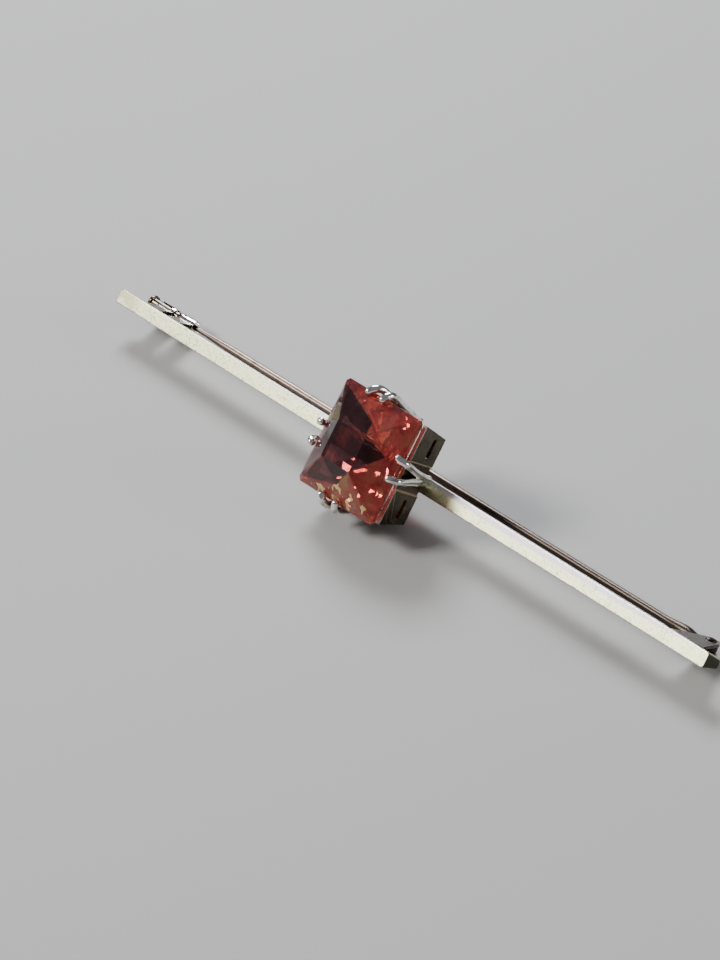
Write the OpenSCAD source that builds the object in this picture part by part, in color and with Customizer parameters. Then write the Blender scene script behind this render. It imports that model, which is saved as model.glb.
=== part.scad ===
// Bar brooch: a slim bar with a square red stone in a box gallery, a hinged pin and a sliding tube catch.
// Local axes of every module: X along the bar, Y across it, Z out of the bar's front face, which is Z = 0.
// seated() then tips the whole brooch on to the table it lies on.

/* [Bar] */
// Length of the bar
bar_len = 74.4; // [66:0.2:90]
// Width of the front face at the middle
bar_w_mid = 1.4; // [1.2:0.05:2]
// Width of the front face at the ends
bar_w_end = 1.3; // [1.2:0.05:2]
// Thickness from front face to back face
bar_t = 1.6; // [1:0.1:2]
// How much narrower the back is than the face, on each side
bar_taper = 0.2; // [0:0.02:0.24]
// Radius of the corners at the bar's ends
bar_corner_r = 0.3; // [0.15:0.05:0.5]
// Bevel along the bar's edges
bar_bevel = 0.08; // [0.04:0.01:0.12]

/* [Stone] */
// Stone size along the bar
stone_w = 9.4; // [8:0.1:11]
// Stone size across the bar
stone_h = 9.1; // [8:0.1:11]
// Length cut off each corner of the outline, along each side
stone_corner = 0.3; // [0.2:0.05:1]
// Height of the girdle's middle above the bar's face
girdle_z = 4.1; // [3.95:0.05:6]
// Thickness of the girdle
girdle_t = 0.2; // [0.1:0.05:0.35]
// Table's size along the bar
table_w = 3.5; // [2.5:0.1:4.5]
// Table's size across the bar
table_h = 3.3; // [2.5:0.1:4.5]
// Height of the table above the girdle
crown_h = 2; // [1.4:0.1:2.6]
// Width of the step facet inside the girdle
step_w = 0.5; // [0.4:0.05:0.8]
// Height of the step facet
step_h = 0.42; // [0.25:0.01:0.5]
// Depth of the pavilion below the girdle
pavilion_d = 3.6; // [3:0.1:3.7]

/* [Setting] */
// Foot of the gallery box, outside, along the bar
gallery_w = 7.8; // [7:0.1:8.4]
// Foot of the gallery box, outside, across the bar
gallery_h = 7.5; // [7:0.1:8.4]
// Height of the gallery's plates above the bar's face
gallery_d = 3.2; // [2.9:0.1:3.4]
// Thickness of the gallery's plates
gallery_wall = 0.42; // [0.3:0.02:0.5]
// Width of the pierced slots
slot_w = 0.4; // [0.25:0.05:0.6]
// Length of a slot, with its round ends
slot_len = 1.7; // [1:0.1:1.8]
// Distance from a side's middle to where its slots start
slot_start = 1.8; // [1.2:0.1:1.8]
// Height of the slots' middle above the bar's face
slot_z = 1.3; // [0.8:0.1:1.8]
// How far the setting sits above the bar's centre line
setting_shift = 0.22; // [0:0.02:0.4]
// Radius of a claw's wire
claw_r = 0.31; // [0.22:0.01:0.34]
// Distance between the two wires of a pair at the foot
claw_foot_gap = 0.4; // [0.2:0.02:0.44]
// Height at which the two wires of a pair part
claw_join = 0.6; // [0.5:0.1:1.2]
// Distance between the two wires of a pair at the girdle
claw_girdle_gap = 1.4; // [1:0.1:2]
// Distance between the two tips of a pair
claw_tip_gap = 1.8; // [1.2:0.05:2.4]
// How far a tip reaches in over the stone
claw_reach = 0.3; // [0.2:0.02:0.6]
// How far the wires bow out past the girdle
claw_bow = 0.12; // [0.04:0.02:0.3]

/* [Pin] */
// Depth of the pin's axis behind the bar's back face
pin_depth = 2.7; // [2.5:0.1:4]
// Radius of the pin stem
pin_r = 0.33; // [0.3:0.01:0.4]
// Radius of the stem's end, in the catch
pin_end_r = 0.2; // [0.16:0.01:0.22]
// Length of the thin end
pin_end_len = 2.6; // [2.2:0.1:4]
// Length of the taper from the stem to the thin end
pin_taper_len = 4; // [2:0.5:8]
// Length of the sharpened point
pin_point_len = 0.5; // [0.3:0.1:1]
// Radius at the very point
pin_point_r = 0.06; // [0.03:0.01:0.1]
// Radius of the swelling in front of the hinge
swell_r = 0.5; // [0.42:0.02:0.6]
// Length of the swelling
swell_len = 4; // [3:0.5:6]
// Bare length of the flat neck between the swelling and the hinge's ears
neck_len = 0.3; // [0.2:0.1:1]

/* [Hinge] */
// Distance of the hinge's axis from the bar's end
hinge_inset = 3.8; // [2.6:0.1:5]
// Thickness of the pin's flat knuckle
knuckle_t = 0.42; // [0.36:0.02:0.6]
// Radius of the knuckle
knuckle_r = 0.7; // [0.6:0.02:0.8]
// Thickness of each ear
ear_t = 0.27; // [0.22:0.01:0.4]
// Radius of the ears' round end
ear_r = 0.8; // [0.7:0.02:0.95]
// Length of an ear's foot on the bar
ear_foot = 3.6; // [2.4:0.1:4.4]
// Radius of the rivet
rivet_r = 0.3; // [0.22:0.01:0.34]
// Radius of the rivet's heads
rivet_head_r = 0.46; // [0.42:0.01:0.6]
// Height of the rivet's domed heads
rivet_head_h = 0.16; // [0.1:0.02:0.25]

/* [Catch] */
// Distance of the catch's inner face from the bar's end
catch_inset = 5.85; // [5.8:0.05:12]
// Outer radius of the catch's fixed tubes
tube_r = 0.58; // [0.57:0.01:0.7]
// Length of the slotted tube that takes the pin
hook_len = 1.9; // [1.6:0.1:2.1]
// Gap between the two fixed tubes
tube_gap = 0.95; // [0.8:0.05:1.2]
// Length of the tube that guides the slide
guide_len = 2.0; // [1.6:0.1:2.2]
// Outer radius of the sliding tube
slide_r = 0.42; // [0.4:0.01:0.43]
// Bore radius of the sliding tube
slide_bore_r = 0.28; // [0.27:0.01:0.3]
// Travel of the slide from open to locked
slide_travel = 1; // [0.8:0.1:1.2]
// Radius of the slide's pull
pull_r = 0.6; // [0.55:0.01:0.7]
// Thickness of the slide's pull
pull_t = 0.3; // [0.2:0.05:0.4]
// Width of the guide tube's open slot
guide_slot_w = 0.38; // [0.3:0.02:0.44]
// Angle of that slot from the side away from the bar, in degrees
guide_slot_turn = 120; // [90:10:150]
// Length of the guide tube left whole beside the slot
guide_whole = 0.6; // [0.4:0.1:0.8]
// Thickness of the web that carries the tubes
web_t = 0.5; // [0.4:0.05:0.7]

/* [Fits] */
// Radial clearance of the hinge's rivet in the knuckle
hinge_fit = 0.04; // [0.02:0.01:0.08]
// Radial clearance of the rivet in the ears
rivet_gap = 0.02; // [0.01:0.01:0.03]
// Radial clearance of the slide in its guide
slide_fit = 0.03; // [0.02:0.01:0.08]
// Side clearance of the knuckle between the ears
side_gap = 0.05; // [0.03:0.01:0.08]
// Gap between the claws and the stone
seat_gap = 0.04; // [0.02:0.01:0.08]
// Clearance of the pin's end in the slotted tube
hook_gap = 0.06; // [0.04:0.01:0.1]
// Depth to which soldered pieces sink into each other
solder = 0.12; // [0.06:0.02:0.16]
// Length by which the pin's point stops short of the guide tube, in the gap between the tubes
point_gap = 0.65; // [0.4:0.05:0.7]
// Gap between the pin's point and the slide when it is drawn back
slide_gap = 0.1; // [0.05:0.05:0.2]
// Gap between the guide tube and the pull at the end of its travel
end_gap = 0.05; // [0.03:0.01:0.1]

/* [Hidden] */
round_fn = 64;
claw_fn = 10;
eps = 0.02;

// Sides are numbered 0 right, 1 upper, 2 left and 3 lower. A pair's middle sits this far off its side's middle,
// [at the foot, at the tips], towards the next side
CLAW_SHIFTS = [[0.15, 0.3], [-0.3, 0.55], [0.2, 0.45], [0, -0.2]];

// Where a claw rests on the girdle's edge, seen from that edge, in degrees above level
CLAW_REST = 50;

// Shares of a claw's length at the points of its path: foot, parting, halfway up, girdle, rest and tip
CLAW_SHARES = [0, 0.05, 0.3, 0.6, 0.8, 1];

// Angles of the rings that round off a claw's tip
TIP_ANGLES = [35, 65, 84];

// Steps of the stone's pavilion: share of the half width, share of the pavilion's depth
PAVILION = [[0.77, 0.34], [0.49, 0.65], [0.22, 0.88], [0.06, 1]];

// Where the crown's triangles meet on each side, numbered as above: shares of the half size, [out, along], and
// of the crown's height
CROSSINGS = [[0.77, 0.16, 0.48], [0.57, 0.25, 0.73], [0.68, 0.1, 0.6], [0.68, 0.1, 0.6]];

// The corners cut off the table and the step, as shares of those cut off the girdle
TABLE_CUT = 0.25;
STEP_CUT = 0.8;

// Shares of the swelling's length: where it is fullest, and where the flat neck starts inside it
SWELL_REACH = 0.6;
FLAT_REACH = 0.75;

// The fittings lean towards the bar's upper edge, so the pin lies a little above its centre line
fitting_lean = 9.7;

// Places along the bar
hinge_x = bar_len / 2 - hinge_inset;
hook_x = -bar_len / 2 + catch_inset;
guide_x = hook_x - hook_len - tube_gap;
pin_tip_x = guide_x + point_gap;
slide_x = pin_tip_x - slide_gap;
pull_x = guide_x - guide_len - slide_travel - end_gap;

// Hinge widths
hinge_half = knuckle_t / 2 + side_gap + ear_t;
ear_hole_r = rivet_r + rivet_gap;

// Claws: the step facet's slope, the wire's distance from the stone, and where its foot stands
step_slope = atan2(step_h, step_w);
wire_off = claw_r + seat_gap;
girdle_top = girdle_z + girdle_t / 2;
foot_out = claw_r - solder;
foot_z = -solder / 2;

// Half the stone's size and half the gallery's foot, outwards on one side
function half_stone(side) = (side % 2 == 0 ? stone_w : stone_h) / 2;
function half_box(side) = (side % 2 == 0 ? gallery_w : gallery_h) / 2;

// A point of the cross-section, [y, z], turned about X
function turned(p, a) = [p[0] * cos(a) - p[1] * sin(a), p[0] * sin(a) + p[1] * cos(a)];

// Lying on a table: the lower ear's outer edge and the feet of the lower claws both touch it
ear_touch = turned([-hinge_half, -pin_depth - ear_r], fitting_lean) - [0, bar_t];
claw_touch = [setting_shift - gallery_h / 2 - foot_out - claw_r, foot_z];
touch_span = claw_touch - ear_touch;
rest_lean = atan2(touch_span[0], touch_span[1]) + 90;
rest_z = -turned(ear_touch, rest_lean)[1];

// The lower claws in front and the upper ear behind lie equally far from Y = 0, the two ends from X = 0
front_y = min([for (p = claw_line(3, 1)) turned([setting_shift - p[0], p[2]], rest_lean)[0]]) - claw_r;
ear_back = turned([hinge_half, -pin_depth - ear_r], fitting_lean) - [0, bar_t];
rest_y = -(front_y + turned(ear_back, rest_lean)[0]) / 2;
rest_x = (max(bar_len / 2, pull_t - pull_x) - bar_len / 2) / 2;

// Catmull-Rom curve through a list of points, with n steps to a span
function spline_at(a, b, c, d, t) = 0.5 * (2 * b + (c - a) * t + (2 * a - 5 * b + 4 * c - d) * t * t
                                   + (3 * b - a - 3 * c + d) * t * t * t);
function spline(p, n) = let (last = len(p) - 1)
    [for (i = [0:last - 1]) for (k = [0:n - 1])
        spline_at(p[max(i - 1, 0)], p[i], p[i + 1], p[min(i + 2, last)], k / n), p[last]];

// The gallery leans out to meet the pavilion: half its outer size at the top, from half the stone's size
function pavilion_at(z) = lookup(z, [[girdle_z - pavilion_d * PAVILION[0][1], PAVILION[0][0]],
                                     [girdle_z - girdle_t / 2, 1]]);
function gallery_top(half_stone) = half_stone * pavilion_at(gallery_d) + 2 * seat_gap + gallery_wall;

// One claw's centre line in its side's own axes [out, along, up], sgn -1 or 1 for the two of a pair.
// Each row of the path is [out, up].
function claw_line(side, sgn) = let (
        stone_out = half_stone(side),
        foot = half_box(side) + foot_out,
        join = foot + (gallery_top(stone_out) - half_box(side)) * claw_join / gallery_d,
        bulge = stone_out + wire_off + claw_bow,
        over = wire_off + claw_bow / 2,
        path = [[foot, foot_z],
                [join, claw_join],
                [(join + bulge) / 2, (claw_join + girdle_z) / 2],
                [bulge, girdle_z - girdle_t],
                [stone_out + over * cos(CLAW_REST), girdle_top + over * sin(CLAW_REST)],
                [stone_out - claw_reach + wire_off * sin(step_slope),
                 girdle_top + claw_reach * tan(step_slope) + wire_off * cos(step_slope)]],
        gaps = [[0, claw_foot_gap], [CLAW_SHARES[1], claw_foot_gap],
                [CLAW_SHARES[3], claw_girdle_gap], [1, claw_tip_gap]],
        shifts = [[0, CLAW_SHIFTS[side][0]], [1, CLAW_SHIFTS[side][1]]])
    [for (i = [0:len(path) - 1]) let (t = CLAW_SHARES[i])
        [path[i][0], lookup(t, shifts) + sgn * lookup(t, gaps) / 2, path[i][1]]];

// Rings of a swept wire: radius r along the line p, cut level at its foot and rounded off at its far end
function unit(v) = v / norm(v);
function heading(p, i) = i == 0 ? [0, 0, 1] : unit(p[min(i + 1, len(p) - 1)] - p[i - 1]);
function ring(c, t, r) = let (side = unit(cross(t, [0, 1, 0])), up = cross(side, t))
    [for (k = [0:claw_fn - 1]) let (a = 360 * k / claw_fn) c + r * (cos(a) * side + sin(a) * up)];
function wire_rings(p, r) = let (last = len(p) - 1, t = heading(p, last)) concat(
    [for (i = [0:last]) ring(p[i], heading(p, i), r)],
    [for (a = TIP_ANGLES) ring(p[last] + r * sin(a) * t, t, r * cos(a))]);

// Closed skin over a list of rings
module skin(rings) {
    n = len(rings[0]);
    m = len(rings);
    points = [for (s = rings) for (p = s) p];
    sides = [for (j = [0:m - 2]) for (k = [0:n - 1]) let (a = j * n + k, b = j * n + (k + 1) % n)
        [a, b, b + n, a + n]];
    caps = [[for (k = [n - 1:-1:0]) k], [for (k = [0:n - 1]) (m - 1) * n + k]];
    polyhedron(points, concat(sides, caps), convexity = 4);
}

// A corner of the bar at its front or back: a smaller disc in that face and a full one a bevel's height inwards
module bar_edge(x, y, face, inward) {
    translate([x, y, face]) cylinder(r = bar_corner_r - bar_bevel, h = eps, $fn = 24);
    translate([x, y, face + inward * bar_bevel]) cylinder(r = bar_corner_r, h = eps, $fn = 24);
}

// The bar narrows from its face to its back, and a little from its middle to its ends
module bar() {
    end_x = bar_len / 2 - bar_corner_r;
    widths = [[-end_x, bar_w_end], [0, bar_w_mid], [end_x, bar_w_end]];
    color("silver") hull() for (place = widths, s = [-1, 1]) {
        edge_y = s * (place[1] / 2 - bar_corner_r);
        bar_edge(place[0], edge_y, -eps, -1);
        bar_edge(place[0], edge_y - s * bar_taper, -bar_t, 1);
    }
}

// The two pierced slots of one side, cut along the side's outward axis
module side_slots(side) {
    inner = half_box(side) - 2 * gallery_wall;
    reach = gallery_top(half_stone(side)) - inner + 1;
    straight = slot_len - slot_w;
    for (s = [-1, 1]) translate([inner, s * (slot_start + slot_len / 2), slot_z]) {
        for (end = [-1, 1]) translate([0, end * straight / 2, 0]) rotate([0, 90, 0])
            cylinder(d = slot_w, h = reach, $fn = 16);
        translate([0, -straight / 2, -slot_w / 2]) cube([reach, straight, slot_w]);
    }
}

// A block with sides that lean out, from the gallery's foot to its top, less a margin all round
module gallery_block(margin, z0, z1) {
    lean_w = (gallery_top(half_stone(0)) - half_box(0)) / gallery_d;
    lean_h = (gallery_top(half_stone(1)) - half_box(1)) / gallery_d;
    hull() for (z = [z0, z1]) translate([0, 0, z])
        linear_extrude(eps, center = true)
            square(2 * [half_box(0) + lean_w * z - margin, half_box(1) + lean_h * z - margin], center = true);
}

module gallery() {
    color("silver") translate([0, setting_shift, 0]) difference() {
        gallery_block(0, 0, gallery_d - eps / 2);
        gallery_block(gallery_wall, -1, gallery_d + 1);
        for (side = [0:3]) rotate([0, 0, 90 * side]) side_slots(side);
    }
}

// Both wires of each pair, joined at their feet
module claws() {
    color("whitesmoke") translate([0, setting_shift, 0]) for (side = [0:3], sgn = [-1, 1])
        rotate([0, 0, 90 * side]) skin(wire_rings(spline(claw_line(side, sgn), 3), claw_r));
}

// The frame in which the hinge and the catch stand: Z = 0 is the bar's back, and they reach down from it
module fittings() {
    translate([0, 0, -bar_t]) rotate([fitting_lean, 0, 0]) children();
}

// A round bar along Y through the hinge's axis
module hinge_disc(r, t) {
    translate([hinge_x, t / 2, -pin_depth]) rotate([90, 0, 0]) cylinder(r = r, h = t, $fn = round_fn);
}

// Blade of one ear in X and Z: a foot on the bar, and sides that run tangent to the round end
module ear_plate() {
    foot = ear_foot / 2;
    drop = pin_depth + solder;
    turn = atan2(drop, foot) - acos(ear_r / norm([foot, drop]));
    end_x = ear_r * cos(turn);
    end_z = ear_r * sin(turn) - pin_depth;
    rotate([90, 0, 0]) linear_extrude(ear_t) translate([hinge_x, 0])
        polygon([[-foot, solder], [-end_x, end_z], [end_x, end_z], [foot, solder]]);
}

module hinge_ears() {
    color("silver") difference() {
        for (s = [-1, 1]) translate([0, s * (hinge_half - ear_t / 2), 0]) {
            translate([0, ear_t / 2, 0]) ear_plate();
            hinge_disc(ear_r, ear_t);
        }
        hinge_disc(ear_hole_r, 4 * hinge_half);
    }
}

// A tube along X from x0, with its axis on the pin's line
module x_tube(x0, len, r, bore) {
    translate([x0, 0, -pin_depth]) rotate([0, 90, 0]) difference() {
        cylinder(r = r, h = len, $fn = round_fn);
        translate([0, 0, -1]) cylinder(r = bore, h = len + 2, $fn = round_fn);
    }
}

module catch_tubes() {
    bore = slide_r + slide_fit;
    gate = 2 * (pin_end_r + hook_gap);
    web_h = pin_depth - (bore + tube_r) / 2 + solder;
    color("silver") {
        difference() {
            x_tube(hook_x - hook_len, hook_len, tube_r, bore);
            translate([hook_x - hook_len - 1, -gate / 2, -pin_depth - tube_r - 1])
                cube([hook_len + 2, gate, tube_r + 1]);
        }
        difference() {
            x_tube(guide_x - guide_len, guide_len, tube_r, bore);
            translate([0, 0, -pin_depth]) rotate([guide_slot_turn - 180, 0, 0]) guide_slot();
        }
        for (x = [hook_x - hook_len, guide_x - guide_len]) translate([x, -web_t / 2, solder - web_h])
            cube([x < guide_x ? guide_len : hook_len, web_t, web_h]);
    }
}

// The guide tube's slot, open at its outer end and round at its inner end, cut outwards along Z
module guide_slot() {
    inner = guide_x - guide_whole;
    translate([inner, 0, 0]) cylinder(d = guide_slot_w, h = 2 * tube_r, $fn = 32);
    translate([guide_x - guide_len - 1, -guide_slot_w / 2, 0])
        cube([inner - guide_x + guide_len + 1, guide_slot_w, 2 * tube_r]);
}

module brooch_frame() {
    bar();
    gallery();
    claws();
    fittings() {
        hinge_ears();
        catch_tubes();
    }
}

// Outline of the stone at one level: a rectangle with cut corners
function cut_square(half_w, half_h, cut, z) = [for (q = [[1, 1], [-1, 1], [-1, -1], [1, -1]])
    for (k = q[0] * q[1] > 0 ? [0, 1] : [1, 0])
        [q[0] * (half_w - (k == 0 ? 0 : cut)), q[1] * (half_h - (k == 0 ? cut : 0)), z]];

module stone() {
    hw = half_stone(0);
    hh = half_stone(1);
    c = CROSSINGS;
    crown = concat(
        cut_square(hw, hh, stone_corner, girdle_z - girdle_t / 2),
        cut_square(hw, hh, stone_corner, girdle_top),
        cut_square(hw - step_w, hh - step_w, STEP_CUT * stone_corner, girdle_top + step_h),
        cut_square(table_w / 2, table_h / 2, TABLE_CUT * stone_corner, girdle_z + crown_h),
        [[hw * c[0][0], hh * c[0][1], girdle_z + crown_h * c[0][2]],
         [hw * c[1][1], hh * c[1][0], girdle_z + crown_h * c[1][2]],
         [-hw * c[2][0], hh * c[2][1], girdle_z + crown_h * c[2][2]],
         [hw * c[3][1], -hh * c[3][0], girdle_z + crown_h * c[3][2]]]);
    pavilion = [for (s = PAVILION)
        for (p = cut_square(hw * s[0], hh * s[0], stone_corner * s[0], girdle_z - pavilion_d * s[1])) p];
    points = concat(crown, pavilion);
    color([0.78, 0.2, 0.16, 0.8]) translate([0, setting_shift, 0])
        hull() polyhedron(points, [for (i = [0:len(points) - 3]) [i, i + 1, i + 2]]);
}

// A stretch of the pin from one place and radius to the next
module stem_stretch(x0, r0, x1, r1) {
    translate([x0, 0, -pin_depth]) rotate([0, 90, 0]) cylinder(r1 = r0, r2 = r1, h = x1 - x0, $fn = round_fn);
}

module pin_stem() {
    point_x = pin_tip_x + pin_point_len;
    end_x = hook_x + pin_end_len - hook_len;
    taper_x = end_x + pin_taper_len;
    swell_x = hinge_x - ear_r - swell_len - neck_len;
    fullest_x = swell_x + SWELL_REACH * swell_len;
    flat_x = swell_x + FLAT_REACH * swell_len;
    color("gainsboro") difference() {
        union() {
            hinge_disc(knuckle_r, knuckle_t);
            stem_stretch(pin_tip_x, pin_point_r, point_x, pin_end_r);
            stem_stretch(point_x, pin_end_r, end_x, pin_end_r);
            stem_stretch(end_x, pin_end_r, taper_x, pin_r);
            stem_stretch(taper_x, pin_r, swell_x, pin_r);
            stem_stretch(swell_x, pin_r, fullest_x, swell_r);
            stem_stretch(fullest_x, swell_r, swell_x + swell_len, knuckle_t / 2);
            translate([flat_x, eps - knuckle_t / 2, -pin_depth - knuckle_t / 2])
                cube([hinge_x - flat_x, knuckle_t - 2 * eps, knuckle_t]);
        }
        hinge_disc(rivet_r + hinge_fit, 2 * knuckle_t);
    }
}

module hinge_rivet() {
    head_out = hinge_half + rivet_gap;
    color("lightgray") {
        hinge_disc(rivet_r, 2 * head_out);
        for (s = [-1, 1]) translate([hinge_x, s * head_out, -pin_depth]) rotate([-90 * s, 0, 0])
            cylinder(r1 = rivet_head_r, r2 = rivet_head_r - rivet_head_h, h = rivet_head_h, $fn = round_fn);
    }
}

module catch_slide() {
    slide_len = slide_x - pull_x;
    color("silver") {
        x_tube(pull_x, slide_len, slide_r, slide_bore_r);
        x_tube(pull_x - pull_t, pull_t + eps, pull_r, slide_bore_r);
    }
}

// Tips the brooch on to its lower side, where it lies on a table at Z = 0
module seated() {
    translate([rest_x, rest_y, rest_z]) rotate([rest_lean, 0, 0]) children();
}

seated() brooch_frame();
seated() stone();
seated() fittings() pin_stem();
seated() fittings() hinge_rivet();
seated() fittings() catch_slide();
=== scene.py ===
"""Looks of the bar brooch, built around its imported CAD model."""

import math

import bmesh
import bpy
from mathutils import Matrix, Vector, noise


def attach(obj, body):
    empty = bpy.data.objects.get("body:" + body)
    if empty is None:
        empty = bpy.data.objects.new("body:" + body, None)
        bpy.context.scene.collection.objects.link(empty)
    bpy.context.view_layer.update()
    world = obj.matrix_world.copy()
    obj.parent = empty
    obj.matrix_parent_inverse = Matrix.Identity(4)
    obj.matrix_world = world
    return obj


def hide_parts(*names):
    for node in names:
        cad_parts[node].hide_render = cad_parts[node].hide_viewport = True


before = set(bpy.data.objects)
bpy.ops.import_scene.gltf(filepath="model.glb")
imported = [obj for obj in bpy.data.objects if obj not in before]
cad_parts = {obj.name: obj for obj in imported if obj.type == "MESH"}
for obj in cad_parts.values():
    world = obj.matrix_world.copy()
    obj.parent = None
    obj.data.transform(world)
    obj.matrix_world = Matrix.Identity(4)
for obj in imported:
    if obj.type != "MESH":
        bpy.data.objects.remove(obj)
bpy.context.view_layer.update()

# Sizes in millimetres, in the brooch's own axes: X along the bar, Y across it, Z out of its face
BAR_LEN, BAR_W_MID, BAR_W_END, BAR_T, BAR_TAPER = 74.4, 1.4, 1.3, 1.6, 0.2
BAR_CORNER_R, BAR_BEVEL = 0.3, 0.08
STONE_W, STONE_H, STONE_CORNER = 9.4, 9.1, 0.3
GIRDLE_Z, GIRDLE_T, TABLE_W, TABLE_H, CROWN_H = 4.1, 0.2, 3.5, 3.3, 2.0
STEP_W, STEP_H, PAVILION_D = 0.5, 0.42, 3.6
PAVILION = ((0.77, 0.34), (0.49, 0.65), (0.22, 0.88), (0.06, 1.0))
CROSSINGS = ((0.77, 0.16, 0.48), (0.57, 0.25, 0.73), (0.68, 0.1, 0.6), (0.68, 0.1, 0.6))
TABLE_CUT, STEP_CUT = 0.25, 0.8
GALLERY_W, GALLERY_H, GALLERY_D, GALLERY_WALL = 7.8, 7.5, 3.2, 0.42
SLOT_W, SLOT_LEN, SLOT_START, SLOT_Z, SETTING_SHIFT = 0.4, 1.7, 1.8, 1.3, 0.22
CLAW_R, CLAW_FOOT_GAP, CLAW_JOIN, CLAW_GIRDLE_GAP, CLAW_TIP_GAP = 0.31, 0.4, 0.6, 1.4, 1.8
CLAW_REACH, CLAW_BOW, CLAW_REST = 0.3, 0.12, 50.0
CLAW_SHIFTS = ((0.15, 0.3), (-0.3, 0.55), (0.2, 0.45), (0.0, -0.2))
CLAW_SHARES = (0.0, 0.05, 0.3, 0.6, 0.8, 1.0)
PIN_DEPTH, PIN_R, PIN_END_R, PIN_END_LEN, PIN_TAPER, PIN_POINT = 2.7, 0.33, 0.2, 2.6, 4.0, 0.5
PIN_POINT_R, SWELL_R, SWELL_LEN, SWELL_REACH, NECK_LEN = 0.05, 0.5, 4.0, 0.6, 0.3
HINGE_INSET, KNUCKLE_T, KNUCKLE_R, EAR_T, EAR_R, EAR_FOOT = 3.8, 0.42, 0.7, 0.27, 0.8, 3.6
RIVET_R, RIVET_HEAD_R, RIVET_HEAD_H = 0.3, 0.46, 0.16
CATCH_INSET, TUBE_R, HOOK_LEN, TUBE_GAP, GUIDE_LEN = 5.85, 0.58, 1.9, 0.95, 2.0
SLIDE_R, SLIDE_BORE_R, SLIDE_TRAVEL, PULL_R, PULL_T = 0.42, 0.28, 1.0, 0.6, 0.3
GUIDE_SLOT_W, GUIDE_SLOT_TURN, GUIDE_WHOLE, WEB_T = 0.38, 120.0, 0.6, 0.5
HINGE_FIT, RIVET_GAP, SLIDE_FIT, SIDE_GAP, SEAT_GAP, HOOK_GAP = 0.04, 0.02, 0.03, 0.05, 0.04, 0.06
SOLDER, POINT_GAP, SLIDE_GAP, END_GAP, FITTING_LEAN = 0.12, 0.65, 0.1, 0.05, 9.7

HINGE_X = BAR_LEN / 2 - HINGE_INSET
HOOK_X = CATCH_INSET - BAR_LEN / 2
GUIDE_X = HOOK_X - HOOK_LEN - TUBE_GAP
PIN_TIP_X = GUIDE_X + POINT_GAP
SLIDE_X = PIN_TIP_X - SLIDE_GAP
PULL_X = GUIDE_X - GUIDE_LEN - SLIDE_TRAVEL - END_GAP
HINGE_HALF = KNUCKLE_T / 2 + SIDE_GAP + EAR_T
WIRE_OFF = CLAW_R + SEAT_GAP
GIRDLE_TOP = GIRDLE_Z + GIRDLE_T / 2
STEP_SLOPE = math.atan2(STEP_H, STEP_W)
FOOT_OUT = CLAW_R - SOLDER
FOOT_Z = -SOLDER / 2
HALF_STONE = (STONE_W / 2, STONE_H / 2)
HALF_BOX = (GALLERY_W / 2, GALLERY_H / 2)


def turned(p, deg):
    """A point [y, z] turned about X."""
    c, s = math.cos(math.radians(deg)), math.sin(math.radians(deg))
    return p[0] * c - p[1] * s, p[0] * s + p[1] * c


def between(x, rows):
    """The value at x in rows of (x, value), straight from one row to the next."""
    for (xa, a), (xb, b) in zip(rows, rows[1:]):
        if x <= xb:
            return a + (b - a) * (x - xa) / (xb - xa)
    return rows[-1][1]


def gallery_top(half_stone):
    """Half the gallery's outer size at its top, where it meets the pavilion."""
    rows = ((GIRDLE_Z - PAVILION_D * PAVILION[0][1], PAVILION[0][0]), (GIRDLE_Z - GIRDLE_T / 2, 1.0))
    return half_stone * between(GALLERY_D, rows) + 2 * SEAT_GAP + GALLERY_WALL


def claw_line(side, sgn):
    """Points [out, along, up] of one claw's centre line, in the axes of side 0 right, 1 upper, 2 left, 3 lower."""
    stone_out = HALF_STONE[side % 2]
    foot = HALF_BOX[side % 2] + FOOT_OUT
    join = foot + (gallery_top(stone_out) - HALF_BOX[side % 2]) * CLAW_JOIN / GALLERY_D
    bulge = stone_out + WIRE_OFF + CLAW_BOW
    over = WIRE_OFF + CLAW_BOW / 2
    rest = math.radians(CLAW_REST)
    path = ((foot, FOOT_Z),
            (join, CLAW_JOIN),
            ((join + bulge) / 2, (CLAW_JOIN + GIRDLE_Z) / 2),
            (bulge, GIRDLE_Z - GIRDLE_T),
            (stone_out + over * math.cos(rest), GIRDLE_TOP + over * math.sin(rest)),
            (stone_out - CLAW_REACH + WIRE_OFF * math.sin(STEP_SLOPE),
             GIRDLE_TOP + CLAW_REACH * math.tan(STEP_SLOPE) + WIRE_OFF * math.cos(STEP_SLOPE)))
    gaps = ((0.0, CLAW_FOOT_GAP), (CLAW_SHARES[1], CLAW_FOOT_GAP),
            (CLAW_SHARES[3], CLAW_GIRDLE_GAP), (1.0, CLAW_TIP_GAP))
    shifts = ((0.0, CLAW_SHIFTS[side][0]), (1.0, CLAW_SHIFTS[side][1]))
    return [(out, between(t, shifts) + sgn * between(t, gaps) / 2, up) for (out, up), t in zip(path, CLAW_SHARES)]


# How the brooch lies: the same sums as in the CAD source
ear_touch = turned((-HINGE_HALF, -PIN_DEPTH - EAR_R), FITTING_LEAN)
ear_touch = (ear_touch[0], ear_touch[1] - BAR_T)
claw_touch = (SETTING_SHIFT - GALLERY_H / 2 - FOOT_OUT - CLAW_R, FOOT_Z)
REST_LEAN = 90 + math.degrees(math.atan2(claw_touch[0] - ear_touch[0], claw_touch[1] - ear_touch[1]))
REST_Z = -turned(ear_touch, REST_LEAN)[1]
front_y = min(turned((SETTING_SHIFT - p[0], p[2]), REST_LEAN)[0] for p in claw_line(3, 1)) - CLAW_R
ear_back = turned((HINGE_HALF, -PIN_DEPTH - EAR_R), FITTING_LEAN)
ear_back = (ear_back[0], ear_back[1] - BAR_T)
REST_Y = -(front_y + turned(ear_back, REST_LEAN)[0]) / 2
REST_X = (max(BAR_LEN / 2, PULL_T - PULL_X) - BAR_LEN / 2) / 2

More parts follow.
